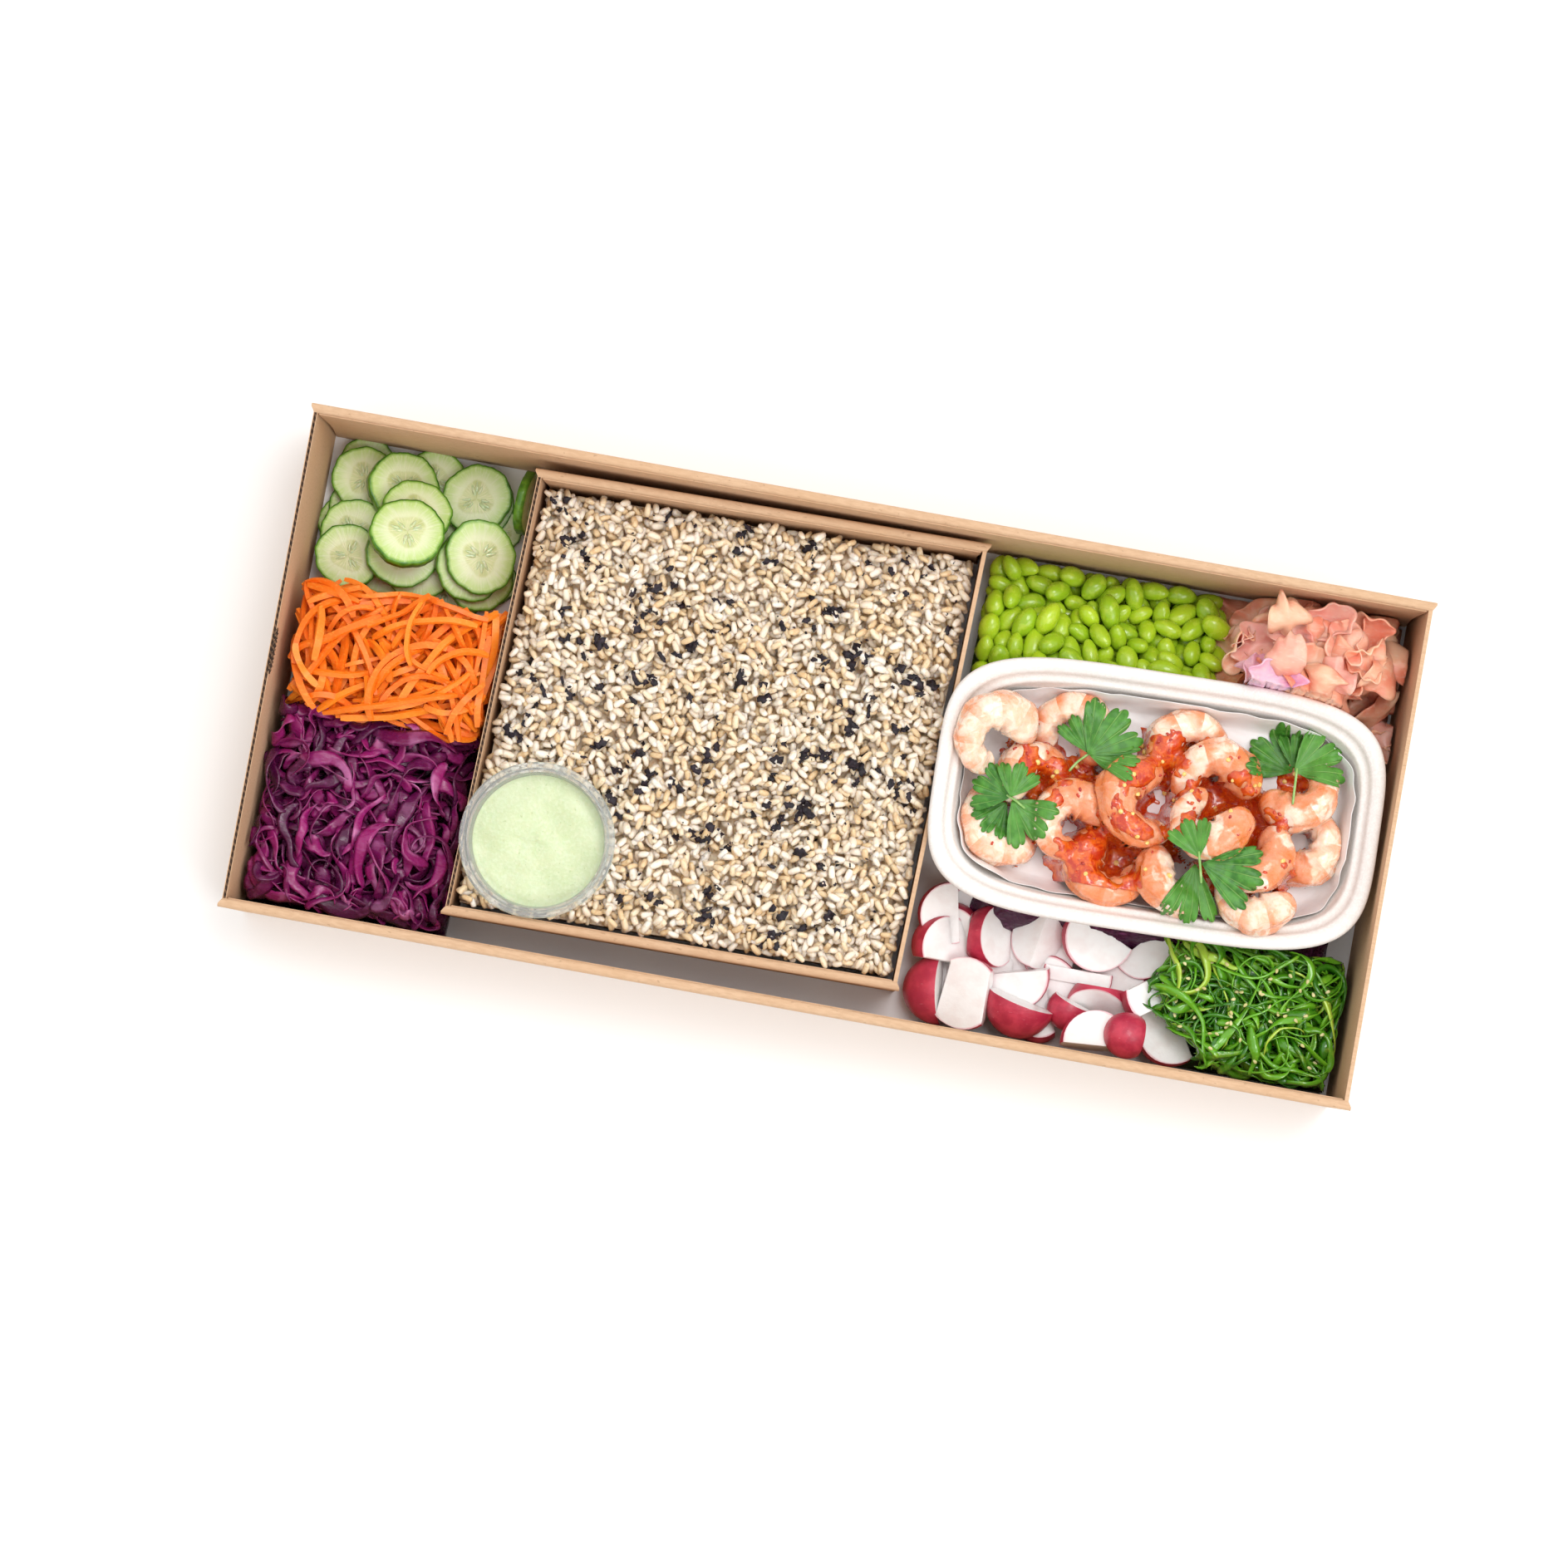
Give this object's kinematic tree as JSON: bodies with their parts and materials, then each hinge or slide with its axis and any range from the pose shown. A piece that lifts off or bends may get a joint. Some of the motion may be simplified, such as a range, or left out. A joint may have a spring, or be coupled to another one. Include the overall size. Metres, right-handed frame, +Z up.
{
  "type": "poke catering box",
  "caption": "Long corrugated board tray of poke salad: rice in a square tray with dip, chilli prawns in a pulp tray, and heaps of vegetables, pickled ginger and seaweed.",
  "frame": {"origin": "centre of the long tray's underside, on the table", "axes": "+X along the tray's long side, to the end with the prawns; +Y across it, to the side with cucumber, edamame and ginger; +Z up"},
  "size_m": [0.558, 0.252, 0.0877],
  "materials": {
    "kraft": "brown kraft corrugated board, paler on the rolled edges, matt",
    "rice": "cooked brown rice with black nori flakes, slightly glossy grains",
    "clear": "clear moulded plastic pot, glossy",
    "dip": "pale green creamy dip, soft sheen",
    "pulp": "off-white moulded plant pulp, matt",
    "paper": "thin white greaseproof paper, creased",
    "prawn": "cooked prawn, peach and white, glazed with red-orange chilli sauce",
    "cucumber": "pale green wet flesh with dark green rind",
    "carrot": "fresh orange carrot, moist",
    "cabbage": "purple red cabbage shreds, moist",
    "edamame": "bright green shelled beans, waxy",
    "ginger": "pink pickled ginger petals, wet",
    "radish": "white flesh with crimson skin, moist",
    "seaweed": "glossy green seaweed strands with sesame seeds"
  },
  "bodies": {
    "root": {"outer_box": "kraft", "inner_box": "kraft", "rice": "rice", "dip_cup": "clear", "dip": "dip", "pulp_tray": "pulp", "tray_paper": "paper", "carrot": "carrot", "cabbage": "cabbage", "cabbage_bed": "cabbage", "edamame": "edamame", "ginger": "ginger", "seaweed": "seaweed", "cucumber_1": "cucumber", "cucumber_2": "cucumber", "cucumber_3": "cucumber", "cucumber_4": "cucumber", "cucumber_5": "cucumber", "cucumber_6": "cucumber", "cucumber_7": "cucumber", "cucumber_8": "cucumber", "cucumber_9": "cucumber", "cucumber_10": "cucumber", "cucumber_11": "cucumber", "cucumber_12": "cucumber", "cucumber_13": "cucumber", "cucumber_14": "cucumber", "cucumber_15": "cucumber", "cucumber_16": "cucumber", "radish_1": "radish", "radish_2": "radish", "radish_3": "radish", "radish_4": "radish", "radish_5": "radish", "radish_6": "radish", "radish_7": "radish", "radish_8": "radish", "radish_9": "radish", "radish_10": "radish", "radish_11": "radish", "radish_12": "radish", "radish_13": "radish", "radish_14": "radish", "radish_15": "radish", "radish_16": "radish", "prawn_1": "prawn", "prawn_2": "prawn", "prawn_3": "prawn", "prawn_4": "prawn", "prawn_5": "prawn", "prawn_6": "prawn", "prawn_7": "prawn", "prawn_8": "prawn", "prawn_9": "prawn", "prawn_10": "prawn", "prawn_11": "prawn", "prawn_12": "prawn", "prawn_13": "prawn", "prawn_14": "prawn", "prawn_15": "prawn"}
  },
  "joints": []
}
